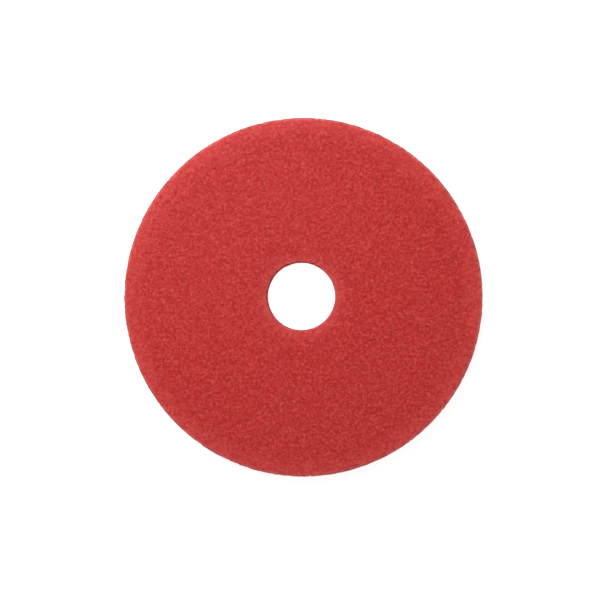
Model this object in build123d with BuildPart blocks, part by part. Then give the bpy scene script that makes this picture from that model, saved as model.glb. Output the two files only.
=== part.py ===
"""Round non-woven floor pad with a centre hole, driven by the pad holder of a rotary floor machine.

The pad is one web of crimped fibres. It is made up as three layers bonded face to face: an open
core, and on each side of it a face layer, which is as deep as the sprayed resin and grit soak in.
Sizes are in millimetres. The origin is the centre of the lower face, and +Z is the pad's axis.
"""

import os

from build123d import *

# ---- Driving dimensions ----
inch = 25.4
pad_diameter = 17 * inch
hole_diameter = 3.25 * inch  # the one size that the centre locks of pad holders take
pad_thickness = 1 * inch  # a full thickness pad
face_depth = 6.0  # of each resin-rich face layer
rim_rounding = 4.5  # of the outer edge, at both faces
hole_rounding = 1.5  # of the hole's edge, at both faces
upright_wall = 0.5  # of a face layer's wall that a rounding always leaves straight

# ---- What follows from them ----
pad_radius = pad_diameter / 2
hole_radius = hole_diameter / 2
core_depth = pad_thickness - 2 * face_depth
core_floor = face_depth
core_roof = core_floor + core_depth
middle_plane = Plane.XY.offset(pad_thickness / 2)
largest_rounding = face_depth - upright_wall
rim_fillet = min(rim_rounding, largest_rounding)
hole_fillet = min(hole_rounding, largest_rounding)


# ---- Core: the open middle of the web, with a straight cut rim ----
with BuildPart() as core_web:
    with BuildSketch(Plane.XY.offset(core_floor)):
        Circle(pad_radius)
        Circle(hole_radius, mode=Mode.SUBTRACT)
    extrude(amount=core_depth)
core_web.part.label = "core_web"

# ---- Upper face: seated on the core's roof, rounded at the rim and at the hole ----
with BuildPart() as upper_face_web:
    with BuildSketch(Plane.XY.offset(core_roof)):
        Circle(pad_radius)
        Circle(hole_radius, mode=Mode.SUBTRACT)
    extrude(amount=face_depth)
    rim_edge = upper_face_web.faces().sort_by(Axis.Z)[-1].edges().sort_by(SortBy.RADIUS)[-1]
    fillet(rim_edge, radius=rim_fillet)
    hole_edge = upper_face_web.faces().sort_by(Axis.Z)[-1].edges().sort_by(SortBy.RADIUS)[0]
    fillet(hole_edge, radius=hole_fillet)
upper_face_web.part.label = "upper_face_web"

# ---- Lower face: the same layer turned over about the middle of the thickness ----
with BuildPart() as lower_face_web:
    mirror(upper_face_web.part, about=middle_plane)
lower_face_web.part.label = "lower_face_web"

os.makedirs("parts", exist_ok=True)
export_step(core_web.part, "parts/core_web.step")
export_step(upper_face_web.part, "parts/upper_face_web.step")
export_step(lower_face_web.part, "parts/lower_face_web.step")
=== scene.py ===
"""Looks of a round non-woven floor pad: a bonded web of crimped fibres with a hole at its centre.

The web is drawn as three closed layers, which stand for the three solids of the frame, and as tangles
of separate fibres that lie over the faces, the cut rim and the wall of the hole.
Lengths are in metres, angles in radians. A place on the pad's skin is a distance along its
cross-section's outline, and a turn about its axis.
"""

import logging
import math
from dataclasses import dataclass, field
from enum import Enum
from typing import Any, ClassVar, Union

import bpy
import numpy as np
from mathutils import Matrix, Vector


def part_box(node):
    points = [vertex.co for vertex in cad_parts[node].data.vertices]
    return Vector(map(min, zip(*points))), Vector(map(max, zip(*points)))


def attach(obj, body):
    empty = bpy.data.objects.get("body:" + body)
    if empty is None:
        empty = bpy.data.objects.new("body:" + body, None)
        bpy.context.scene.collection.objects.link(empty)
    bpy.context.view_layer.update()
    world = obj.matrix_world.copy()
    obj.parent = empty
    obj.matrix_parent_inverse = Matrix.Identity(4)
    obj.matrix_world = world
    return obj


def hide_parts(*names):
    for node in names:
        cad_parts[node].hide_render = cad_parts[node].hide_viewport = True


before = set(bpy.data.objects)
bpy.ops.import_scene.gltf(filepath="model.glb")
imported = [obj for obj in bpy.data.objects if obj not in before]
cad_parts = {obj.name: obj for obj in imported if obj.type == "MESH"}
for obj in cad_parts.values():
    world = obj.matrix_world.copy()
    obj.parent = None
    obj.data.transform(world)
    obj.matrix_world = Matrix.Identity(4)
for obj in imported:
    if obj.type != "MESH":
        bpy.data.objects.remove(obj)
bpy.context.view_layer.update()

LOG = logging.getLogger("floor_pad")
BODY = "root"
BAKE_MAP = "OFBake"
TURN = 2 * math.pi

Number = Union[float, "Channel"]
Span = tuple[float, float]
Colour = tuple[float, float, float, float]


class Layer(Enum):
    """The three layers of the web. The value is the frame's node."""

    UPPER_FACE = "upper_face_web"
    CORE = "core_web"
    LOWER_FACE = "lower_face_web"


class Lay(Enum):
    """How the fibres of a tangle lie. The value is the half-range of their headings about the rim."""

    EVERY_WAY = math.pi
    ALONG_THE_CUT = 0.5


# ---------------------------------------------------------------------------------------------------
# Form of the pad
# ---------------------------------------------------------------------------------------------------


@dataclass(frozen=True)
class PadForm:
    """Radii and heights of the pad, read from the frame, and the softness of its cut edges.

    Attributes:
        rim_radius: radius of the cut rim.
        hole_radius: radius of the hole's wall.
        floor: height of the lower face.
        roof: height of the upper face.
        lower_seam: height at which the lower face layer meets the core.
        upper_seam: height at which the upper face layer meets the core.
        rim_rounding: radius of the edges between the faces and the rim.
        hole_rounding: radius of the edges between the faces and the hole.
        rim_pinch: how far the die's cut draws each face in at the rim.
        rim_pinch_reach: how far in from the rim that is felt.
        hole_pinch: how far the cut draws each face in at the hole.
        hole_pinch_reach: how far out from the hole that is felt.
    """

    rim_radius: float
    hole_radius: float
    floor: float
    roof: float
    lower_seam: float
    upper_seam: float
    rim_rounding: float = 0.0045
    hole_rounding: float = 0.0015
    rim_pinch: float = 0.0020
    rim_pinch_reach: float = 0.036
    hole_pinch: float = 0.0023
    hole_pinch_reach: float = 0.027

    @classmethod
    def from_frame(cls) -> "PadForm":
        """Reads the pad's sizes from the frame's three nodes.

        Returns:
            The form that fills exactly the room that those nodes fill.
        """
        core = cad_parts[Layer.CORE.value].data
        points = np.empty(len(core.vertices) * 3)
        core.vertices.foreach_get("co", points)
        radii = np.hypot(points[0::3], points[1::3])
        core_low, core_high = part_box(Layer.CORE.value)
        return cls(
            rim_radius=float(radii.max()),
            hole_radius=float(radii.min()),
            floor=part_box(Layer.LOWER_FACE.value)[0].z,
            roof=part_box(Layer.UPPER_FACE.value)[1].z,
            lower_seam=core_low.z,
            upper_seam=core_high.z,
        )

    @property
    def middle(self) -> float:
        """Height of the middle of the pad's thickness."""
        return (self.floor + self.roof) / 2

    def pinched(self, radius: np.ndarray, height: np.ndarray) -> np.ndarray:
        """Draws heights towards the middle near the two cuts.

        The draw grows with the square of the way into each cut's reach.

        Args:
            radius: distances from the axis.
            height: heights before the cut.

        Returns:
            The heights after it.
        """
        rim_way = np.clip((radius - self.rim_radius) / self.rim_pinch_reach + 1, 0, 1)
        hole_way = np.clip(1 - (radius - self.hole_radius) / self.hole_pinch_reach, 0, 1)
        drop = self.rim_pinch * rim_way**2 + self.hole_pinch * hole_way**2
        half = self.roof - self.middle
        return self.middle + (height - self.middle) * (1 - drop / half)


class Outline:
    """The closed outline of the pad's cross-section, by distance along it.

    It starts at the middle of the hole's wall, goes up, out over the upper face, down the rim, and back
    under the lower face. Straight stretches and quarter circles are joined, then pinched at the cuts,
    and every reading is interpolated between close points.
    """

    ARC_POINTS: ClassVar[int] = 24
    FACE_POINTS: ClassVar[int] = 400

    def __init__(self, form: PadForm) -> None:
        """Lays the outline out.

        Args:
            form: the pad's sizes.
        """
        self.form = form
        quarter = np.linspace(0, math.pi / 2, self.ARC_POINTS)
        hole_bend, rim_bend = form.hole_rounding, form.rim_rounding
        hole_arc = (
            form.hole_radius + hole_bend * (1 - np.cos(quarter)),
            form.roof - hole_bend * (1 - np.sin(quarter)),
        )
        rim_arc = (
            form.rim_radius - rim_bend * (1 - np.sin(quarter)),
            form.roof - rim_bend * (1 - np.cos(quarter)),
        )
        face = np.linspace(hole_arc[0][-1], rim_arc[0][0], self.FACE_POINTS)[1:-1]
        flat = np.full(len(face), form.roof)
        radius = np.concatenate([[form.hole_radius], hole_arc[0], face, rim_arc[0], [form.rim_radius]])
        height = np.concatenate([[form.middle], hole_arc[1], flat, rim_arc[1], [form.middle]])
        radius = np.concatenate([radius, radius[-2::-1]])
        height = np.concatenate([height, 2 * form.middle - height[-2::-1]])
        self.radius = radius
        self.height = form.pinched(radius, height)
        steps = np.hypot(np.diff(self.radius), np.diff(self.height))
        self.distance = np.concatenate([[0], np.cumsum(steps)])
        self.length = float(self.distance[-1])
        run = np.gradient(self.radius, self.distance)
        rise = np.gradient(self.height, self.distance)
        size = np.hypot(run, rise)
        self.normal_radial = -rise / size
        self.normal_upward = run / size
        self.hole_edge = float(self.distance[self.ARC_POINTS])
        self.rim_edge = float(self.distance[self.ARC_POINTS + self.FACE_POINTS - 1])
        self.hole_arc_start = float(self.distance[1])
        self.rim_arc_end = float(self.distance[2 * self.ARC_POINTS + self.FACE_POINTS - 2])

    def at(self, distance: np.ndarray) -> tuple[np.ndarray, np.ndarray, np.ndarray, np.ndarray]:
        """Reads the outline.

        Args:
            distance: distances along it, of any shape; it is closed, so they wrap round.

        Returns:
            Radius, height, and the radial and upward parts of the outward normal, in that shape.
        """
        wrapped = np.mod(distance, self.length)
        readings = (self.radius, self.height, self.normal_radial, self.normal_upward)
        return tuple(np.interp(wrapped, self.distance, values) for values in readings)

    def down_the_rim_to(self, height: float) -> float:
        """Distance at which the rim, going down, passes that height."""
        rim = (self.distance > self.rim_edge) & (self.distance < self.length - self.rim_edge)
        return float(np.interp(-height, -self.height[rim], self.distance[rim]))

    def up_the_hole_to(self, height: float) -> float:
        """Finds where the hole's wall, going up, passes a height.

        Args:
            height: the height.

        Returns:
            Distance from the middle of the wall, less than 0 below it.
        """
        wall = self.distance <= self.hole_edge
        rise = height - self.form.middle
        way = np.interp(abs(rise), self.height[wall] - self.form.middle, self.distance[wall])
        return float(math.copysign(way, rise))


# ---------------------------------------------------------------------------------------------------
# Relief of the web
# ---------------------------------------------------------------------------------------------------


@dataclass(frozen=True)
class StreakField:
    """Heights of crossing strands over a square tile that repeats without a seam.

    Several sheets of white noise are each blurred far along one heading and little across it, as a
    product in the frequency plane. The height is the greatest of them, as the strand on top is what
    shows. It has a mean of 0 and a deviation of 1.

    Attributes:
        seed: start of the random draw.
        half_range: headings lie within this angle of the tile's first axis.
        tile: side of the tile.
        cells: samples along a side.
        sheets: number of headings.
        strand_length: blur along a strand.
        strand_width: blur across it.
    """

    seed: int
    half_range: float = math.pi / 2
    tile: float = 0.36
    cells: int = 1024
    sheets: int = 9
    strand_length: float = 0.0022
    strand_width: float = 0.00042
    heights: np.ndarray = field(init=False, repr=False, compare=False)

    def __post_init__(self) -> None:
        """Works the tile out once."""
        rng = np.random.default_rng(self.seed)
        wave = np.fft.fftfreq(self.cells, self.tile / self.cells)
        across_tile, along_tile = np.meshgrid(wave, wave)
        highest = np.full((self.cells, self.cells), -np.inf)
        for heading in np.linspace(-self.half_range, self.half_range, self.sheets, endpoint=False):
            along = along_tile * math.cos(heading) + across_tile * math.sin(heading)
            across = across_tile * math.cos(heading) - along_tile * math.sin(heading)
            fade = (self.strand_length * along) ** 2 + (self.strand_width * across) ** 2
            noise = np.fft.fft2(rng.standard_normal((self.cells, self.cells)))
            sheet = np.fft.ifft2(noise * np.exp(-2 * math.pi**2 * fade)).real
            highest = np.maximum(highest, sheet / sheet.std())
        object.__setattr__(self, "heights", (highest - highest.mean()) / highest.std())

    def at(self, first: np.ndarray, second: np.ndarray) -> np.ndarray:
        """Reads the tile by the mean of the four nearest samples, weighted by nearness.

        Args:
            first: places along the tile's first axis, in tiles.
            second: places along its second axis, in tiles.

        Returns:
            Heights, of the same shape.
        """
        row, column = first * self.cells, second * self.cells
        low_row, low_column = np.floor(row).astype(int), np.floor(column).astype(int)
        row_share, column_share = row - low_row, column - low_column
        low_row, low_column = low_row % self.cells, low_column % self.cells
        next_row, next_column = (low_row + 1) % self.cells, (low_column + 1) % self.cells
        near = self.heights[low_row, low_column] * (1 - column_share)
        near = near + self.heights[low_row, next_column] * column_share
        far = self.heights[next_row, low_column] * (1 - column_share)
        far = far + self.heights[next_row, next_column] * column_share
        return near * (1 - row_share) + far * row_share


@dataclass(frozen=True)
class WebRelief:
    """How deep the web's skin lies under the pad's outline, anywhere on the pad.

    The faces read one streak field by their flat coordinates. The two cut walls read another by turn
    and height, because the fibres there lie along the layers. A rounding blends the two by the square
    of the outline's upward normal.

    Attributes:
        form: the pad's sizes.
        face_depth: deepest pit in a face.
        wall_depth: deepest pit in a cut wall.
        face_field: streaks of the faces, which cross every way.
        wall_field: streaks of the cut walls, which are longer and lie along the cut.
        rim_repeats: how often the wall's tile repeats round the rim.
        hole_repeats: how often it does round the hole.
        lower_shift: how far the tile is moved for the lower face, in tiles, so that it isn't the same.
        mean_loft: loft at the mean height of the streaks.
        loft_step: loft for each deviation of their height.
    """

    form: PadForm
    face_depth: float = 0.00025
    wall_depth: float = 0.0014
    face_field: StreakField = field(default_factory=lambda: StreakField(seed=11))
    wall_field: StreakField = field(
        default_factory=lambda: StreakField(seed=23, half_range=0.35, sheets=5, strand_length=0.0045)
    )
    rim_repeats: int = 4
    hole_repeats: int = 1
    lower_shift: float = 0.5
    mean_loft: float = 0.55
    loft_step: float = 0.19

    def loft(
        self, radius: np.ndarray, turn: np.ndarray, height: np.ndarray, upward: np.ndarray
    ) -> np.ndarray:
        """Gives how proud the web stands, from 0 in the deepest pits to 1 on the outline.

        Args:
            radius: distances from the axis.
            turn: angles about it.
            height: heights.
            upward: upward part of the outline's normal.

        Returns:
            The loft at each place.
        """
        tile = self.face_field.tile
        shift = np.where(height < self.form.middle, self.lower_shift, 0.0)
        flat_x, flat_y = radius * np.cos(turn) / tile, radius * np.sin(turn) / tile
        on_face = self.face_field.at(flat_x + shift, flat_y)
        half_way = (self.form.hole_radius + self.form.rim_radius) / 2
        repeats = np.where(radius > half_way, self.rim_repeats, self.hole_repeats)
        on_wall = self.wall_field.at(turn / TURN * repeats, height / self.wall_field.tile)
        share = np.clip(upward**2, 0, 1)
        streaks = share * on_face + (1 - share) * on_wall
        return np.clip(self.mean_loft + self.loft_step * streaks, 0, 1)

    def depth(self, loft: np.ndarray, upward: np.ndarray) -> np.ndarray:
        """Depth under the outline for that loft: face and wall depths, blended as the loft is."""
        share = np.clip(upward**2, 0, 1)
        return (1 - loft) * (share * self.face_depth + (1 - share) * self.wall_depth)


# ---------------------------------------------------------------------------------------------------
# Meshes
# ---------------------------------------------------------------------------------------------------


def put_in_scene(name: str, data: bpy.types.ID) -> bpy.types.Object:
    """Makes an object.

    Args:
        name: its name.
        data: its mesh, lamp or camera.

    Returns:
        The object, linked to the scene and at the origin.
    """
    made = bpy.data.objects.new(name, data)
    bpy.context.scene.collection.objects.link(made)
    return made


@dataclass
class MeshPlan:
    """A mesh as whole arrays.

    Attributes:
        points: vertex places, N by 3.
        corners: vertex numbers of the faces' corners, end to end.
        starts: where each face begins in corners.
        unwrap: a place on the bake map for each corner.
        marks: named numbers, one for each vertex.
    """

    points: np.ndarray
    corners: np.ndarray
    starts: np.ndarray
    unwrap: np.ndarray
    marks: dict[str, np.ndarray] = field(default_factory=dict)

    def build(self, name: str) -> bpy.types.Object:
        """Makes the object, smooth shaded, with its bake map and its marks.

        Args:
            name: the piece's name.

        Returns:
            The object, linked to the scene and at the origin.
        """
        mesh = bpy.data.meshes.new(name)
        mesh.vertices.add(len(self.points))
        mesh.vertices.foreach_set("co", self.points.astype(np.float32).ravel())
        mesh.loops.add(len(self.corners))
        mesh.loops.foreach_set("vertex_index", self.corners.astype(np.int32))
        mesh.polygons.add(len(self.starts))
        mesh.polygons.foreach_set("loop_start", self.starts.astype(np.int32))
        mesh.update(calc_edges=True)
        mesh.polygons.foreach_set("use_smooth", np.ones(len(self.starts), bool))
        layer = mesh.uv_layers.new(name=BAKE_MAP)
        layer.data.foreach_set("uv", self.unwrap.astype(np.float32).ravel())
        for mark, values in self.marks.items():
            attribute = mesh.attributes.new(mark, "FLOAT", "POINT")
            attribute.data.foreach_set("value", values.astype(np.float32))
        mesh.update()
        return put_in_scene(name, mesh)


def torus_corners(rings: int, segments: int) -> np.ndarray:
    """Vertex numbers of the quads of a grid that closes both ways.

    Args:
        rings: number of rows, one for each place on the outline.
        segments: number of columns about the axis.

    Returns:
        An array of rings by segments by 4, each quad seen the right way round from outside.
    """
    ring, segment = np.meshgrid(np.arange(rings), np.arange(segments), indexing="ij")
    next_ring, next_segment = (ring + 1) % rings, (segment + 1) % segments
    quad = (
        ring * segments + segment,
        next_ring * segments + segment,
        next_ring * segments + next_segment,
        ring * segments + next_segment,
    )
    return np.stack(quad, axis=-1)


def evenly(start: float, end: float, pitch: float) -> np.ndarray:
    """Places from start up to but not at end, as near to pitch apart as divides the way evenly."""
    return np.linspace(start, end, max(2, round(abs(end - start) / pitch) + 1))[:-1]


@dataclass
class WebLayer:
    """One layer of the web: a closed ring whose skin has the web's relief.

    Attributes:
        layer: which layer it is.
        form: the pad's sizes.
        outline: the pad's cross-section.
        relief: the web's relief.
        segments: columns about the axis.
        face_pitch: distance between rings on a face.
        edge_pitch: distance between rings on the roundings.
        wall_pitch: distance between rings on the cut walls.
        seam_rings: rings across the hidden seam.
    """

    layer: Layer
    form: PadForm
    outline: Outline
    relief: WebRelief
    segments: int = 720
    face_pitch: float = 0.00155
    edge_pitch: float = 0.0009
    wall_pitch: float = 0.0009
    seam_rings: int = 3

    CORE_ROWS: ClassVar[int] = 8
    ROW_MARGIN: ClassVar[float] = 0.02
    MAP_CENTRE: ClassVar[float] = 0.5
    MAP_HOLE: ClassVar[float] = 0.18
    MAP_RADIUS: ClassVar[float] = 0.49

    def skin_of_upper_face(self) -> np.ndarray:
        """Spaces the rings of the upper face layer, from the seam in the hole to the seam on the rim.

        Returns:
            Their distances along the outline.
        """
        line = self.outline
        return np.concatenate(
            [
                evenly(line.up_the_hole_to(self.form.upper_seam), line.hole_arc_start, self.wall_pitch),
                evenly(line.hole_arc_start, line.hole_edge, self.edge_pitch),
                evenly(line.hole_edge, line.rim_edge, self.face_pitch),
                evenly(line.rim_edge, line.rim_arc_end, self.edge_pitch),
                evenly(line.rim_arc_end, line.down_the_rim_to(self.form.upper_seam), self.wall_pitch),
                [line.down_the_rim_to(self.form.upper_seam)],
            ]
        )

    def skins(self) -> list[np.ndarray]:
        """The layer's stretches of the pad's skin, in order round its own cross-section.

        Returns:
            One array of distances for a face layer, two for the core.
        """
        line, form = self.outline, self.form
        upper = self.skin_of_upper_face()
        if self.layer is Layer.UPPER_FACE:
            return [upper]
        if self.layer is Layer.LOWER_FACE:
            return [line.length - upper[::-1]]
        down = evenly(
            line.down_the_rim_to(form.upper_seam), line.down_the_rim_to(form.lower_seam), self.wall_pitch
        )
        up = evenly(
            line.up_the_hole_to(form.lower_seam), line.up_the_hole_to(form.upper_seam), self.wall_pitch
        )
        return [
            np.append(down, line.down_the_rim_to(form.lower_seam)),
            np.append(up, line.up_the_hole_to(form.upper_seam)),
        ]

    def plan(self) -> MeshPlan:
        """Carries the cross-section about the axis and presses the relief into its skin.

        A vertex is the outline's point, moved inwards along the outline's normal by the relief's depth
        there. The rings across a seam lie level between the two walls.

        Returns:
            The closed mesh.
        """
        turn = np.arange(self.segments) / self.segments * TURN
        radii, heights, lofts, cuts = [], [], [], []
        spans = self.skins()
        for k, span in enumerate(spans):
            ring_radius, ring_height, radial, upward = self.outline.at(span)
            shape = (len(span), self.segments)
            around = np.broadcast_to(turn, shape)
            loft = self.relief.loft(
                np.broadcast_to(ring_radius[:, None], shape),
                around,
                np.broadcast_to(ring_height[:, None], shape),
                np.broadcast_to(upward[:, None], shape),
            )
            depth = self.relief.depth(loft, upward[:, None])
            radii.append(ring_radius[:, None] - radial[:, None] * depth)
            heights.append(ring_height[:, None] - upward[:, None] * depth)
            lofts.append(loft)
            cuts.append(np.broadcast_to(1 - upward[:, None] ** 2, shape))
            following = self.outline.at(spans[(k + 1) % len(spans)][:1])[0]
            seam = np.linspace(ring_radius[-1], following[0], self.seam_rings + 2)[1:-1, None]
            radii.append(np.broadcast_to(seam, (self.seam_rings, self.segments)))
            heights.append(np.full((self.seam_rings, self.segments), ring_height[-1]))
            lofts.append(np.zeros((self.seam_rings, self.segments)))
            cuts.append(np.ones((self.seam_rings, self.segments)))
        radius, height, loft, cut = (np.concatenate(part) for part in (radii, heights, lofts, cuts))
        points = np.stack([radius * np.cos(turn), radius * np.sin(turn), height], axis=-1)
        corners = torus_corners(len(radius), self.segments)
        return MeshPlan(
            points=points.reshape(-1, 3),
            corners=corners.ravel(),
            starts=np.arange(corners.shape[0] * corners.shape[1]) * 4,
            unwrap=self.unwrap(radius.shape[0]).reshape(-1, 2),
            marks={"loft": loft.ravel(), "cut": cut.ravel()},
        )

    def unwrap(self, rings: int) -> np.ndarray:
        """Lays the layer out flat for the bake.

        A face layer is laid out as a disc, each ring a little outside the last. The core is laid out as
        rows, each an eighth of the way round.

        Args:
            rings: number of rings of the cross-section.

        Returns:
            Places from 0 to 1, for each ring, segment and corner of its quad.
        """
        ring, segment = np.meshgrid(np.arange(rings), np.arange(self.segments), indexing="ij")
        way = np.stack([ring, ring + 1, ring + 1, ring], axis=-1) / rings
        around = np.stack([segment, segment, segment + 1, segment + 1], axis=-1) / self.segments
        if self.layer is Layer.CORE:
            row = (segment * self.CORE_ROWS // self.segments)[..., None]
            across = self.ROW_MARGIN + (1 - 2 * self.ROW_MARGIN) * way
            return np.stack([around * self.CORE_ROWS - row, (row + across) / self.CORE_ROWS], axis=-1)
        if self.layer is Layer.LOWER_FACE:
            way = 1 - way
        reach = (self.MAP_HOLE + (1 - self.MAP_HOLE) * way) * self.MAP_RADIUS
        turn = around * TURN
        return self.MAP_CENTRE + np.stack([reach * np.cos(turn), reach * np.sin(turn)], axis=-1)


@dataclass
class FibreTangle:
    """Separate crimped fibres lying over one stretch of the pad's skin.

    Attributes:
        name: the piece's name.
        form: the pad's sizes.
        outline: the pad's cross-section.
        start: distance along the outline where the stretch begins.
        end: distance where it ends.
        count: number of fibres.
        seed: start of the random draw.
        lay: how the fibres lie.
        steps: straight steps in each fibre.
        lengths: lengths of the shortest and the longest fibre.
        radii: radii of the thinnest and the thickest one.
        buried: how far a fibre's ends lie under the outline.
        arches: least and greatest height of its middle over the outline, where less than 0 is below it.
        bend: deviation of the angle through which it turns from end to end.
        swings: least and greatest swing of its crimp to either side.
        waves: fewest and most waves of crimp in it.
        shiver: deviation of each place's height from the arch.
    """

    name: str
    form: PadForm
    outline: Outline
    start: float
    end: float
    count: int
    seed: int
    lay: Lay = Lay.EVERY_WAY
    steps: int = 6
    lengths: Span = (0.005, 0.014)
    radii: Span = (0.00011, 0.00021)
    buried: float = 0.0007
    arches: Span = (-0.00030, 0.00010)
    bend: float = 1.1
    swings: Span = (0.25, 0.70)
    waves: Span = (0.8, 1.7)
    shiver: float = 0.00012

    SIDES: ClassVar[int] = 3
    ARCH_POWER: ClassVar[float] = 0.6
    MAP_MARGIN: ClassVar[float] = 0.06
    SPOT_SAMPLES: ClassVar[int] = 2000

    def spots(self, rng: np.random.Generator) -> np.ndarray:
        """Draws where the fibres' middles lie, evenly over the skin's area.

        A length of the outline sweeps an area in proportion to its radius, so the draw is even in the
        running sum of the radius.

        Args:
            rng: the random draw.

        Returns:
            Distances along the outline, one for each fibre.
        """
        line = np.linspace(self.start, self.end, self.SPOT_SAMPLES)
        area = np.cumsum(self.outline.at(line)[0])
        return np.interp(rng.uniform(area[0], area[-1], self.count), area, line)

    def plan(self) -> MeshPlan:
        """Draws every fibre as a three-sided tube that tapers to a point at both ends.

        A fibre's heading is a straight lay plus a bend plus a wave, and its places are that heading's
        running sum. It starts and ends under the skin and arches over it as a half wave, but no lower
        than the pad's floor.

        Returns:
            The closed mesh of all the fibres.
        """
        rng = np.random.default_rng(self.seed)
        way = np.linspace(0, 1, self.steps + 1)[None, :]
        column = (self.count, 1)
        middle = self.spots(rng)[:, None]
        turn = rng.uniform(0, TURN, column)
        length = rng.uniform(*self.lengths, column)
        flip = rng.choice([0, math.pi], column)
        lay = rng.uniform(-self.lay.value, self.lay.value, column) + math.pi / 2 + flip
        bend = rng.normal(0, self.bend, column) * (way - 0.5)
        swing = rng.uniform(*self.swings, column)
        waves, phase = rng.uniform(*self.waves, column), rng.uniform(0, 1, column)
        crimp = swing * np.sin(TURN * (way * waves + phase))
        heading = lay + bend + crimp
        step = length / self.steps
        ahead = np.cumsum(np.cos(heading) * step, axis=1)
        aside = np.cumsum(np.sin(heading) * step, axis=1)
        radius_here = self.outline.at(middle)[0]
        distance = middle + ahead - ahead.mean(axis=1, keepdims=True)
        turn = turn + (aside - aside.mean(axis=1, keepdims=True)) / radius_here
        ring_radius, ring_height, radial, upward = self.outline.at(distance)
        arch = rng.uniform(*self.arches, column)
        lift = -self.buried + (arch + self.buried) * np.sin(math.pi * way) ** self.ARCH_POWER
        lift = lift + self.shiver * rng.standard_normal((self.count, self.steps + 1))
        radius = ring_radius + radial * lift
        height = ring_height + upward * lift
        thickness = rng.uniform(*self.radii, column)
        height = np.maximum(height, self.form.floor + thickness)
        line = np.stack([radius * np.cos(turn), radius * np.sin(turn), height], axis=-1)
        skin = np.stack([radial * np.cos(turn), radial * np.sin(turn), upward], axis=-1)
        points = self.tubes(line, skin, thickness)
        corners, starts, unwrap = self.faces()
        tone = np.repeat(rng.uniform(0, 1, self.count), points.shape[1])
        loft = np.clip((lift + self.buried) / (self.arches[1] + self.buried), 0, 1)
        return MeshPlan(
            points=points.reshape(-1, 3),
            corners=corners,
            starts=starts,
            unwrap=unwrap,
            marks={"tone": tone, "loft": self.spread(loft), "cut": self.spread(1 - upward**2)},
        )

    def spread(self, values: np.ndarray) -> np.ndarray:
        """Gives every point round a fibre its place's value.

        Args:
            values: count by steps + 1, one for each place along each fibre.

        Returns:
            One value for each vertex.
        """
        inner = np.repeat(values[:, 1:-1], self.SIDES, axis=1)
        return np.concatenate([values[:, :1], inner, values[:, -1:]], axis=1).ravel()

    def tubes(self, line: np.ndarray, skin: np.ndarray, thickness: np.ndarray) -> np.ndarray:
        """Sets three points round each inner place of each fibre, and one at each end.

        Args:
            line: places along the fibres, count by steps + 1 by 3.
            skin: the pad's outward normal there.
            thickness: the fibres' radii, count by 1.

        Returns:
            Count by points of one fibre by 3.
        """
        ahead = np.gradient(line, axis=1)
        ahead /= np.linalg.norm(ahead, axis=-1, keepdims=True)
        side = np.cross(ahead, skin)
        side /= np.linalg.norm(side, axis=-1, keepdims=True)
        up = np.cross(side, ahead)
        angle = np.arange(self.SIDES) / self.SIDES * TURN
        ring = up[:, 1:-1, None] * np.cos(angle)[:, None] + side[:, 1:-1, None] * np.sin(angle)[:, None]
        tube = line[:, 1:-1, None] + ring * thickness[:, None, None]
        tube = tube.reshape(len(line), -1, 3)
        return np.concatenate([line[:, :1], tube, line[:, -1:]], axis=1)

    def faces(self) -> tuple[np.ndarray, np.ndarray, np.ndarray]:
        """Corners, face starts and bake map of all the fibres.

        Each fibre has its own square cell of the map, in which its length runs across and its three
        sides are rows.

        Returns:
            Corners and starts as MeshPlan wants them, and the map's place for each corner.
        """
        sides, rings = self.SIDES, self.steps - 1
        last = rings * sides + 1
        corners, sizes, places = [], [], []
        for side in range(sides):
            other = (side + 1) % sides
            low, high = side / sides, (side + 1) / sides
            corners += [0, 1 + other, 1 + side]
            places += [(0, (low + high) / 2), (1, high), (1, low)]
            sizes.append(3)
            for ring in range(rings - 1):
                here, there = 1 + ring * sides, 1 + (ring + 1) * sides
                corners += [here + side, here + other, there + other, there + side]
                places += [(ring + 1, low), (ring + 1, high), (ring + 2, high), (ring + 2, low)]
                sizes.append(4)
            end = 1 + (rings - 1) * sides
            corners += [end + side, end + other, last]
            places += [(rings, low), (rings, high), (rings + 1, (low + high) / 2)]
            sizes.append(3)
        fibre = np.arange(self.count)[:, None]
        one, sizes_array = np.array(corners), np.array(sizes)
        all_corners = (one[None] + fibre * (last + 1)).ravel()
        first = np.concatenate([[0], np.cumsum(sizes_array)[:-1]])
        starts = (first[None] + fibre * len(one)).ravel()
        place = np.array(places, float) / (self.steps, 1)
        place = self.MAP_MARGIN + (1 - 2 * self.MAP_MARGIN) * place
        cells = math.ceil(math.sqrt(self.count))
        cell = np.stack([fibre % cells, fibre // cells], axis=-1)
        return all_corners, starts, ((cell + place[None]) / cells).reshape(-1, 2)


# ---------------------------------------------------------------------------------------------------
# Finishes
# ---------------------------------------------------------------------------------------------------


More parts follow.
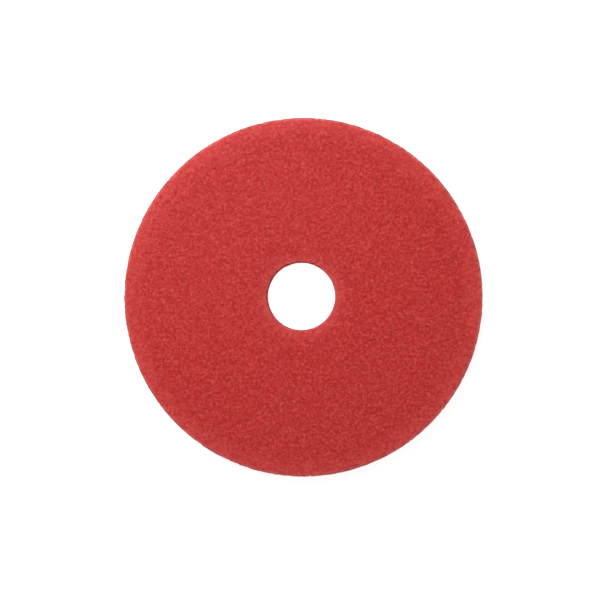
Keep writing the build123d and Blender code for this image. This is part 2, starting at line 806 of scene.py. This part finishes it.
class Channel:
    """A number that varies over a surface or a sky: a node's socket with arithmetic."""

    def __init__(self, graph: "Graph", socket: bpy.types.NodeSocket) -> None:
        """Wraps a socket of that graph."""
        self.graph = graph
        self.socket = socket

    def maths(self, operation: str, *values: Number, clamp: bool = False) -> "Channel":
        """Adds a Math node.

        Args:
            operation: the node's operation.
            values: its inputs, in order.
            clamp: whether the result is kept from 0 to 1.

        Returns:
            The node's result.
        """
        settings = {"operation": operation, "use_clamp": clamp}
        return self.graph.channel("ShaderNodeMath", settings, dict(enumerate(values)))

    def __add__(self, other: Number) -> "Channel":
        """This plus other."""
        return self.maths("ADD", self, other)

    __radd__ = __add__

    def __sub__(self, other: Number) -> "Channel":
        """This less other."""
        return self.maths("SUBTRACT", self, other)

    def __rsub__(self, other: Number) -> "Channel":
        """Other less this."""
        return self.maths("SUBTRACT", other, self)

    def __mul__(self, other: Number) -> "Channel":
        """This times other."""
        return self.maths("MULTIPLY", self, other)

    __rmul__ = __mul__

    def __pow__(self, other: Number) -> "Channel":
        """This to the power of other."""
        return self.maths("POWER", self, other)

    def __abs__(self) -> "Channel":
        """This without its sign."""
        return self.maths("ABSOLUTE", self)

    def clamped(self) -> "Channel":
        """This, kept from 0 to 1."""
        return self.maths("ADD", self, 0.0, clamp=True)

    def ramped(self, low: float, high: float, first: float = 0.0, last: float = 1.0) -> "Channel":
        """Turns this into a smooth step.

        Args:
            low: where the step begins.
            high: where it ends.
            first: value up to low.
            last: value from high on.

        Returns:
            The step.
        """
        settings = {"interpolation_type": "SMOOTHSTEP"}
        values = {"Value": self, "From Min": low, "From Max": high, "To Min": first, "To Max": last}
        return self.graph.channel("ShaderNodeMapRange", settings, values)


class Graph:
    """A node tree, and the one place where its nodes are made."""

    def __init__(self, tree: bpy.types.NodeTree) -> None:
        """Wraps that tree."""
        self.nodes = tree.nodes
        self.links = tree.links

    def present(self, kind: str) -> bpy.types.Node:
        """The node of that type which the tree already holds."""
        return next(node for node in self.nodes if node.type == kind)

    def node(
        self, kind: str, settings: dict[str, Any] | None = None, values: dict[Any, Any] | None = None
    ) -> bpy.types.Node:
        """Adds a node.

        Args:
            kind: the node's type.
            settings: its properties, which are set first.
            values: a number, colour, socket or Channel for each named or numbered input.

        Returns:
            The node.
        """
        made = self.nodes.new(kind)
        for name, value in (settings or {}).items():
            setattr(made, name, value)
        self.feed(made, values or {})
        return made

    def feed(self, node: bpy.types.Node, values: dict[Any, Any]) -> None:
        """Sets or links a node's inputs.

        Args:
            node: the node.
            values: what goes to each named or numbered input.
        """
        for key, value in values.items():
            if isinstance(value, Channel):
                value = value.socket
            if isinstance(value, bpy.types.NodeSocket):
                self.links.new(value, node.inputs[key])
            else:
                node.inputs[key].default_value = value

    def channel(
        self,
        kind: str,
        settings: dict[str, Any] | None = None,
        values: dict[Any, Any] | None = None,
        output: int | str = 0,
    ) -> Channel:
        """Adds a node and wraps one of its outputs.

        Args:
            kind: the node's type.
            settings: its properties.
            values: what its inputs get.
            output: name or number of the output.

        Returns:
            That output as a Channel.
        """
        return Channel(self, self.node(kind, settings, values).outputs[output])


class FinishGraph(Graph):
    """The node tree of one finish, which starts from Object coordinates and the mesh's marks."""

    GRAIN_ROUGHNESS: ClassVar[float] = 0.6
    STIR_SCALE: ClassVar[float] = 0.6
    STIR_REACH: ClassVar[float] = 1.6

    def __init__(self, name: str) -> None:
        """Starts a material with a Principled shader.

        Args:
            name: the material's name.
        """
        self.material = bpy.data.materials.new(name)
        self.material.use_nodes = True
        super().__init__(self.material.node_tree)
        self.shader = self.present("BSDF_PRINCIPLED")
        self.place = self.node("ShaderNodeTexCoord").outputs["Object"]

    def mark(self, name: str) -> Channel:
        """A mark of the mesh, as MeshPlan names it."""
        return self.channel("ShaderNodeAttribute", {"attribute_name": name}, output="Fac")

    def squashed(self, squash: float) -> bpy.types.NodeSocket:
        """Places whose heights are squash times as great, so that a pattern on them lies flatter."""
        values = {"Vector": self.place, "Scale": (1, 1, squash)}
        return self.node("ShaderNodeMapping", values=values).outputs[0]

    def grain(
        self, size: float, detail: float = 2.0, distortion: float = 0.0, squash: float = 1.0
    ) -> Channel:
        """Adds a noise about 0.5.

        Args:
            size: about how large its lumps are.
            detail: how many times finer noise is added.
            distortion: how far the lumps are drawn out of shape.
            squash: how much flatter they are along the pad's axis.

        Returns:
            The noise.
        """
        values = {
            "Vector": self.squashed(squash),
            "Scale": 1 / size,
            "Detail": detail,
            "Roughness": self.GRAIN_ROUGHNESS,
            "Distortion": distortion,
        }
        return self.channel("ShaderNodeTexNoise", values=values, output="Fac")

    def strands(self, size: float, width: float, squash: float = 1.0) -> Channel:
        """Adds a net of fine strands: the nearness to the edges of cells that a noise has stirred.

        Args:
            size: about how large the net's cells are.
            width: reach of a strand to either side, in cells.
            squash: how much flatter the net is along the pad's axis.

        Returns:
            1 on a strand and 0 between strands.
        """
        place = self.squashed(squash)
        noise = {"Vector": place, "Scale": self.STIR_SCALE / size, "Detail": 1.0}
        stir = self.node("ShaderNodeTexNoise", values=noise).outputs["Color"]
        moves = {0: stir, 1: (size * self.STIR_REACH,) * 3, 2: place}
        moved = self.node("ShaderNodeVectorMath", {"operation": "MULTIPLY_ADD"}, moves).outputs[0]
        cells = {"Vector": moved, "Scale": 1 / size}
        gap = self.channel("ShaderNodeTexVoronoi", {"feature": "DISTANCE_TO_EDGE"}, cells, "Distance")
        return 1 - gap.ramped(0.0, width)

    def mixed(self, share: Number, first: Any, second: Any) -> bpy.types.NodeSocket:
        """Mixes two colours.

        Args:
            share: how much of the second.
            first: a colour or a colour socket.
            second: a colour or a colour socket.

        Returns:
            The mixed colour's socket.
        """
        made = self.node("ShaderNodeMix", {"data_type": "RGBA"})
        inputs = {socket.identifier: k for k, socket in enumerate(made.inputs)}
        colours = {inputs["A_Color"]: first, inputs["B_Color"]: second}
        self.feed(made, {inputs["Factor_Float"]: share, **colours})
        return next(socket for socket in made.outputs if socket.identifier == "Result_Color")

    def distance_from_axis(self) -> Channel:
        """Distance of a place from the pad's axis."""
        level = self.node("ShaderNodeVectorMath", {"operation": "MULTIPLY"}, {0: self.place, 1: (1, 1, 0)})
        return self.channel("ShaderNodeVectorMath", {"operation": "LENGTH"}, {0: level.outputs[0]}, "Value")


@dataclass(frozen=True)
class WebFinish:
    """The red of the bonded web.

    The web's colour follows a height, from 0 deep in the web to 1 on top of it, which is a sum of the
    mark "loft", the clumps, the clouds and two nets of strands, each times its share. The clumps, clouds
    and nets are the web's random grain; the loft's part paints shade into the pits and a highlight onto
    the tops.

    Attributes:
        name: the material's name.
        form: the pad's sizes, for the painted sheen near the cuts.
        pit: colour down in the web: the dark end of its random grain, and painted shade in its pits.
        fibre: colour of most fibres.
        tip: pale end of the web's random grain, and a painted highlight on its tops.
        painted_cut_sheen: colour of the painted sheen, a pale veil of light, towards the cuts.
        painted_edge_sheen: colour of the painted sheen on the rounded edges.
        shade: colour of the painted shade on the upright walls of the cuts, where little light falls.
        fibre_band: heights between which pit turns to fibre.
        tip_band: heights between which fibre turns to tip.
        rim_sheen: most of the painted sheen at the rim.
        rim_sheen_reach: how far in from the rim it begins.
        hole_sheen: most of it at the hole.
        hole_sheen_reach: how far out from the hole it begins.
        wall_shade: share of the painted shade on an upright wall.
        edge_sheen_shares: share of the painted sheen everywhere on a rounded edge, and more of it in
            patches.
        patch: size of the patches in which the painted sheen is stronger.
        patch_band: values of the grain between which a patch begins.
        clump: size of the lumps in which fibres and resin gather.
        cloud: size of the wider clouds in which the web is a little thicker.
        squash: how much flatter the grain is along the axis.
        net: size of the cells of the coarse net of strands, and the strands' width in cells.
        fine_net: the same of the fine net.
        loft_shading_share: share of the loft in the height, which paints shade in the pits and a highlight
            on the tops.
        clump_share: share of the clumps.
        cloud_share: share of the clouds.
        net_share: share of the coarse net.
        fine_net_share: share of the fine net.
        lift: what is added to the height.
        roughness: mean roughness.
        roughness_swing: how much rougher the thin places are than the thick ones.
        sheen: weight of the dusty sheen of fibre ends.
        bump: height of the bump that the clumps and nets give.
        bump_shares: parts of it that the clumps, the net and the fine net give.
    """

    name: str
    form: PadForm
    # pit and tip are the two ends of the web's random grain; where the loft drives the height they are also
    # painted shade in the pits and a painted highlight on the tops.
    pit: Colour = (0.425, 0.0158, 0.0149, 1)
    fibre: Colour = (0.521, 0.0372, 0.0341, 1)
    tip: Colour = (0.629, 0.0780, 0.0734, 1)
    # Painted sheen: a pale veil of light towards the cuts.
    painted_cut_sheen: Colour = (0.820, 0.105, 0.099, 1)
    # Painted sheen on the rounded edges.
    painted_edge_sheen: Colour = (0.710, 0.198, 0.188, 1)
    # Painted shade on the upright walls of the cuts, where little light falls.
    shade: Colour = (0.330, 0.014, 0.013, 1)
    fibre_band: Span = (0.15, 0.55)
    tip_band: Span = (0.50, 1.00)
    # How much painted sheen comes in at the rim and the hole, and how far from them.
    rim_sheen: float = 0.42
    rim_sheen_reach: float = 0.040
    hole_sheen: float = 0.39
    hole_sheen_reach: float = 0.0155
    # Share of the painted shade on upright walls.
    wall_shade: float = 0.38
    # Shares of the painted sheen on the rounded edges.
    edge_sheen_shares: Span = (0.15, 0.75)
    patch: float = 0.004
    patch_band: Span = (0.20, 0.75)
    clump: float = 0.0032
    cloud: float = 0.0120
    squash: float = 1.0
    net: Span = (0.0020, 0.16)
    fine_net: Span = (0.0013, 0.20)
    # The loft's share paints shade in the pits and a highlight on the tops.
    loft_shading_share: float = 0.25
    clump_share: float = 2.40
    cloud_share: float = 0.45
    net_share: float = 0.30
    fine_net_share: float = 0.25
    lift: float = -1.385
    roughness: float = 0.60
    roughness_swing: float = 0.20
    sheen: float = 0.02
    bump: float = 0.00005
    bump_shares: tuple[float, float, float] = (0.6, 0.5, 0.4)

    GLOSS: ClassVar[float] = 0.12
    SHEEN_ROUGHNESS: ClassVar[float] = 0.5
    BUMP_STRENGTH: ClassVar[float] = 0.8
    CLUMP_DETAIL: ClassVar[float] = 3.0
    CLUMP_DISTORTION: ClassVar[float] = 0.5

    def clumps(self, graph: FinishGraph) -> Channel:
        """The lumps in which fibres and resin gather."""
        return graph.grain(self.clump, self.CLUMP_DETAIL, self.CLUMP_DISTORTION, self.squash)

    def mottle(self, graph: FinishGraph, clumps: Channel) -> Channel:
        """The clumps and the clouds, each times its share."""
        return clumps * self.clump_share + graph.grain(self.cloud, squash=self.squash) * self.cloud_share

    def colour(self, graph: FinishGraph, height: Channel) -> bpy.types.NodeSocket:
        """Colours by height in the web: pit, fibre and tip in turn.

        Where the loft drives the height, the pit is painted shade and the tip a painted highlight. Towards
        the cuts a painted sheen, a pale veil of light, comes in, on upright walls a painted shade, and on
        the rounded edges more painted sheen. The mark "cut" is 0 on a face and 1 on a wall, so 4 times cut
        times (1 - cut) is 1 midway round an edge and 0 on both sides of it.

        Args:
            graph: the finish's node tree.
            height: from 0 deep in the web to 1 on top of it.

        Returns:
            The colour's socket.
        """
        # Pit to tip: random grain, with painted shade and painted highlight wherever the loft drives the
        # height.
        low = graph.mixed(height.ramped(*self.fibre_band), self.pit, self.fibre)
        high = graph.mixed(height.ramped(*self.tip_band), low, self.tip)
        reach = graph.distance_from_axis()
        rim = reach.ramped(self.form.rim_radius - self.rim_sheen_reach, self.form.rim_radius)
        hole = 1 - reach.ramped(self.form.hole_radius, self.form.hole_radius + self.hole_sheen_reach)
        patches = graph.grain(self.patch, self.CLUMP_DETAIL).ramped(*self.patch_band)
        # Painted sheen, a pale veil of light, towards the rim and the hole, in patches.
        cut_sheen = (self.rim_sheen * rim**2 + self.hole_sheen * hole) * patches
        cut = graph.mark("cut")
        # The inner mix paints the sheen; over it goes painted shade on the upright walls.
        walls = graph.mixed(self.wall_shade * cut**2, graph.mixed(cut_sheen, high, self.painted_cut_sheen), self.shade)
        # Painted sheen on the rounded edges, strongest midway round them and in patches.
        everywhere, in_patches = self.edge_sheen_shares
        edge = 4 * cut * (1 - cut)
        return graph.mixed(edge * (everywhere + in_patches * patches), walls, self.painted_edge_sheen)

    def dress(self, graph: FinishGraph, height: Channel, clumps: Channel) -> None:
        """Feeds the shader.

        Args:
            graph: the finish's node tree.
            height: height in the web.
            clumps: the lumps, about 0.5.
        """
        graph.feed(
            graph.shader,
            {
                "Base Color": self.colour(graph, height.clamped()),
                "Roughness": (self.roughness + self.roughness_swing * (0.5 - clumps)).clamped(),
                "Sheen Weight": self.sheen,
                "Sheen Roughness": self.SHEEN_ROUGHNESS,
                "Specular IOR Level": self.GLOSS,
            },
        )

    def material(self) -> bpy.types.Material:
        """Builds the web's finish.

        Returns:
            A material that reads the marks "loft" and "cut", and Object coordinates.
        """
        graph = FinishGraph(self.name)
        clumps = self.clumps(graph)
        net = graph.strands(*self.net, self.squash)
        fine_net = graph.strands(*self.fine_net, self.squash)
        # The loft's share paints shade in the pits and a highlight on the tops of the web.
        solid = graph.mark("loft") * self.loft_shading_share + self.mottle(graph, clumps)
        height = solid + net * self.net_share + fine_net * self.fine_net_share + self.lift
        self.dress(graph, height, clumps)
        by_clumps, by_net, by_fine_net = self.bump_shares
        lumps = clumps * by_clumps + net * by_net + fine_net * by_fine_net
        settings = {"Strength": self.BUMP_STRENGTH, "Distance": self.bump, "Height": lumps}
        bump = graph.node("ShaderNodeBump", values=settings)
        graph.feed(graph.shader, {"Normal": bump.outputs[0]})
        return graph.material


@dataclass(frozen=True)
class FibreFinish(WebFinish):
    """The same red on separate fibres, which differ from one to the next.

    Attributes:
        tone_share: share of a fibre's own tone in the height.
    """

    # The fibres' pit and tip: random grain, and where the loft drives the height, painted shade on the
    # buried ends and a painted highlight on the arches.
    pit: Colour = (0.503, 0.0258, 0.0249, 1)
    fibre: Colour = (0.593, 0.0580, 0.0529, 1)
    tip: Colour = (0.698, 0.1165, 0.1091, 1)
    # The loft's share paints shade and highlight along each fibre.
    loft_shading_share: float = 0.40
    clump_share: float = 2.00
    lift: float = -1.095
    roughness: float = 0.48
    roughness_swing: float = 0.30
    tone_share: float = 0.60

    def material(self) -> bpy.types.Material:
        """Builds the fibres' finish.

        Returns:
            A material that reads the marks "loft", "tone" and "cut", and Object coordinates.
        """
        graph = FinishGraph(self.name)
        clumps = self.clumps(graph)
        # The loft's share paints shade on each fibre's buried ends and a highlight on its arch; the tone is
        # the fibre's own.
        own = graph.mark("loft") * self.loft_shading_share + graph.mark("tone") * self.tone_share
        self.dress(graph, own + self.mottle(graph, clumps) + self.lift, clumps)
        return graph.material


# ---------------------------------------------------------------------------------------------------
# The pad
# ---------------------------------------------------------------------------------------------------


@dataclass
class FloorPad:
    """The whole pad: its three layers and the fibres over them.

    Attributes:
        form: the pad's sizes.
        face_segments: columns of a face layer's mesh about the axis.
        core_segments: columns of the core's mesh.
        core_squash: how much flatter the core's grain is along the axis.
        fill: how full the soft layers are; it is not used.
        face_pieces: number of pieces that the fibres of one face are shared among.
        fibres_per_piece: number of fibres in each of them, and in the rim's piece.
        hole_fibre_count: number of fibres on the hole's wall.
        lower_arches: arches of the lower face's fibres, which lie flatter because it bears on the floor.
        rim_lengths: lengths of the rim's fibres.
        hole_lengths: lengths of the hole's fibres.
        face_overlap: how far past the start of the rounded edge the faces' fibres are set.
        rim_inset: how far past it the rim's fibres begin.
    """

    form: PadForm = field(default_factory=PadForm.from_frame)
    face_segments: int = 720
    core_segments: int = 1200
    core_squash: float = 2.5
    fill: float = 0.5
    face_pieces: int = 3
    fibres_per_piece: int = 6300
    hole_fibre_count: int = 1500
    lower_arches: Span = (-0.00030, -0.00010)
    rim_lengths: Span = (0.004, 0.014)
    hole_lengths: Span = (0.003, 0.010)
    face_overlap: float = 0.003
    rim_inset: float = 0.002

    UPPER_SEED: ClassVar[int] = 100
    LOWER_SEED: ClassVar[int] = 200
    RIM_SEED: ClassVar[int] = 301
    HOLE_SEED: ClassVar[int] = 401

    def __post_init__(self) -> None:
        """Works out what its pieces share."""
        self.outline = Outline(self.form)
        self.relief = WebRelief(self.form)
        self.face_finish = WebFinish("face_web_red", self.form).material()
        self.core_finish = WebFinish("core_web_red", self.form, squash=self.core_squash).material()
        self.fibre_finish = FibreFinish("loose_fibre_red", self.form).material()

    def layer(
        self, name: str, layer: Layer, slot: str, finish: bpy.types.Material, segments: int
    ) -> bpy.types.Object:
        """Makes one layer in place of its solid.

        Args:
            name: the piece's name.
            layer: which layer it is.
            slot: the record's material slot; it is not used.
            finish: its material.
            segments: columns of its mesh about the axis.

        Returns:
            The finished piece.
        """
        piece = WebLayer(layer, self.form, self.outline, self.relief, segments).plan().build(name)
        piece.data.materials.append(finish)
        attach(piece, BODY)
        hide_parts(layer.value)
        return piece

    def layers(self) -> list[bpy.types.Object]:
        """Makes the three layers.

        Returns:
            The layers, from the top down.
        """
        face, core = (self.face_finish, self.face_segments), (self.core_finish, self.core_segments)
        return [
            self.layer("upper_face_fleece", Layer.UPPER_FACE, "face_fibre", *face),
            self.layer("core_fleece", Layer.CORE, "core_fibre", *core),
            self.layer("lower_face_fleece", Layer.LOWER_FACE, "face_fibre", *face),
        ]

    def face_tangles(self, number: int) -> list[FibreTangle]:
        """The upper and the lower face's tangle of that number.

        Args:
            number: from 0 up.

        Returns:
            The two tangles.
        """
        line = self.outline
        inner, outer = line.hole_arc_start, line.rim_edge + self.face_overlap
        shared = {"form": self.form, "outline": line, "count": self.fibres_per_piece}
        upper = FibreTangle(
            f"upper_face_fibres_{number + 1}",
            start=inner,
            end=outer,
            seed=self.UPPER_SEED + number,
            **shared,
        )
        lower = FibreTangle(
            f"lower_face_fibres_{number + 1}",
            start=line.length - outer,
            end=line.length - inner,
            seed=self.LOWER_SEED + number,
            arches=self.lower_arches,
            **shared,
        )
        return [upper, lower]

    def wall_tangles(self) -> list[FibreTangle]:
        """The tangles of the two cut walls.

        Returns:
            The rim's and the hole's.
        """
        line = self.outline
        top = line.rim_edge + self.rim_inset
        shared = {"form": self.form, "outline": line, "lay": Lay.ALONG_THE_CUT}
        rim = FibreTangle(
            "rim_fibres",
            start=top,
            end=line.length - top,
            count=self.fibres_per_piece,
            seed=self.RIM_SEED,
            lengths=self.rim_lengths,
            **shared,
        )
        hole = FibreTangle(
            "hole_fibres",
            start=-line.hole_arc_start,
            end=line.hole_arc_start,
            count=self.hole_fibre_count,
            seed=self.HOLE_SEED,
            lengths=self.hole_lengths,
            **shared,
        )
        return [rim, hole]

    def fibres(self) -> list[bpy.types.Object]:
        """Makes the fibre pieces.

        Returns:
            One object for each tangle.
        """
        on_faces = [tangle for number in range(self.face_pieces) for tangle in self.face_tangles(number)]
        made = []
        for tangle in on_faces + self.wall_tangles():
            piece = tangle.plan().build(tangle.name)
            piece.data.materials.append(self.fibre_finish)
            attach(piece, BODY)
            made.append(piece)
        return made


# ---------------------------------------------------------------------------------------------------
# The studio
# ---------------------------------------------------------------------------------------------------


@dataclass(frozen=True)
class SoftBox:
    """A square lamp that looks at the pad.

    Attributes:
        name: the lamp's name.
        place: where it hangs.
        size: its side.
        power: its power in watts.
    """

    name: str
    place: tuple[float, float, float]
    size: float
    power: float

    def hang(self) -> None:
        """Makes the lamp and turns it to the pad."""
        data = bpy.data.lights.new(self.name, "AREA")
        data.size = self.size
        data.energy = self.power
        lamp = put_in_scene(self.name, data)
        lamp.location = self.place
        lamp.rotation_euler = (-Vector(self.place)).to_track_quat("-Z", "Y").to_euler()


@dataclass
class Studio:
    """A pale floor, soft light from the upper left, and the camera nearly above the pad.

    Attributes:
        form: the pad's sizes.
        camera_distance: from the upper face to the camera.
        camera_tilt: angle between the line of sight and the pad's axis.
        camera_side: direction in which the camera leans away from the axis.
        field_width: width seen at the upper face.
        aim: where the line of sight meets the upper face.
        sensor: width of the camera's sensor.
        soft_boxes: the lamps.
        side_light: strength of the room's light from the sides.
        overhead_light: strength of it from straight above.
        overhead_band: sines of the elevations between which the first turns to the second.
        floor_half: half the side of the floor.
        floor_gap: how far the floor lies under the pad.
        floor_tints: the floor's colours.
        floor_glow: strength of the floor's own light, which keeps it white in the hole.
        outer_glow: colour of that light beyond the hole.
        glow_band: distances from the axis between which it turns to that colour.
    """

    form: PadForm
    camera_distance: float = 0.8
    camera_tilt: float = math.radians(3.4)
    camera_side: float = math.radians(-23.5)
    field_width: float = 0.7172
    aim: Span = (-0.00074, -0.00486)
    sensor: float = 0.036
    soft_boxes: tuple[SoftBox, ...] = (
        SoftBox("soft_box_upper_left", (-0.54, 0.855, 1.0), 0.8, 15.5),
        SoftBox("soft_box_right", (1.6, -0.6, 1.6), 1.5, 5.5),
    )
    side_light: float = 1.0
    overhead_light: float = 0.235
    overhead_band: Span = (0.42, 0.75)
    floor_half: float = 4.0
    floor_gap: float = 0.0001
    floor_tints: tuple[Colour, Colour] = ((0.85, 0.85, 0.85, 1), (0.87, 0.87, 0.87, 1))
    floor_glow: float = 0.8
    outer_glow: Colour = (0.76, 0.76, 0.76, 1)
    glow_band: Span = (0.05, 0.20)

    WHITE: ClassVar[Colour] = (1, 1, 1, 1)
    MM: ClassVar[float] = 1000
    FAR_CLIP: ClassVar[float] = 20
    FLOOR_GRAIN: ClassVar[float] = 0.5
    FLOOR_ROUGHNESS: ClassVar[float] = 0.9

    def camera(self) -> None:
        """Makes the scene's camera, with the Y axis upright in its view."""
        data = bpy.data.cameras.new("camera")
        data.sensor_width = self.sensor * self.MM
        data.lens = data.sensor_width * self.camera_distance / self.field_width
        data.clip_end = self.FAR_CLIP
        side = Vector((math.cos(self.camera_side), math.sin(self.camera_side), 0))
        back = side * math.sin(self.camera_tilt) + Vector((0, 0, math.cos(self.camera_tilt)))
        right = Vector((0, 1, 0)).cross(back).normalized()
        turned = Matrix((right, back.cross(right), back)).transposed().to_4x4()
        place = Vector((*self.aim, self.form.roof)) + back * self.camera_distance
        camera = put_in_scene("camera", data)
        camera.matrix_world = Matrix.Translation(place) @ turned
        bpy.context.scene.camera = camera

    def floor(self) -> None:
        """Lays the pale floor just under the pad."""
        half, under = self.floor_half, self.form.floor - self.floor_gap
        corners = [(-half, -half, under), (half, -half, under), (half, half, under), (-half, half, under)]
        mesh = bpy.data.meshes.new("studio_floor")
        mesh.from_pydata(corners, [], [(0, 1, 2, 3)])
        graph = FinishGraph("studio_floor_white")
        spread = graph.distance_from_axis().ramped(*self.glow_band)
        graph.feed(
            graph.shader,
            {
                "Base Color": graph.mixed(graph.grain(self.FLOOR_GRAIN), *self.floor_tints),
                "Roughness": self.FLOOR_ROUGHNESS,
                "Emission Color": graph.mixed(spread, self.WHITE, self.outer_glow),
                "Emission Strength": self.floor_glow,
            },
        )
        mesh.materials.append(graph.material)
        floor = put_in_scene("studio_floor", mesh)

    def room(self) -> None:
        """Fills the room with white light that is even from the sides and weaker from above.

        Its strength is a smooth step of the upward part of the direction, without its sign.
        """
        world = bpy.data.worlds.new("studio_room")
        world.use_nodes = True
        graph = Graph(world.node_tree)
        heading = graph.node("ShaderNodeTexCoord").outputs["Generated"]
        upward = graph.channel("ShaderNodeSeparateXYZ", values={0: heading}, output="Z")
        strength = abs(upward).ramped(*self.overhead_band, self.side_light, self.overhead_light)
        graph.feed(graph.present("BACKGROUND"), {"Color": self.WHITE, "Strength": strength})
        bpy.context.scene.world = world
        bpy.context.scene.view_settings.view_transform = "Standard"

    def set_up(self) -> None:
        """Makes everything in the studio."""
        self.camera()
        self.room()
        self.floor()
        for soft_box in self.soft_boxes:
            soft_box.hang()


def main() -> None:
    """Builds the pad and the studio, and reports each piece."""
    logging.basicConfig(level=logging.INFO, format="%(name)s: %(message)s")
    pad = FloorPad()
    for piece in pad.layers() + pad.fibres():
        mesh = piece.data
        mesh.calc_loop_triangles()
        LOG.info("%s: %d vertices, %d triangles", piece.name, len(mesh.vertices), len(mesh.loop_triangles))
    Studio(pad.form).set_up()


if __name__ == "__main__":
    main()
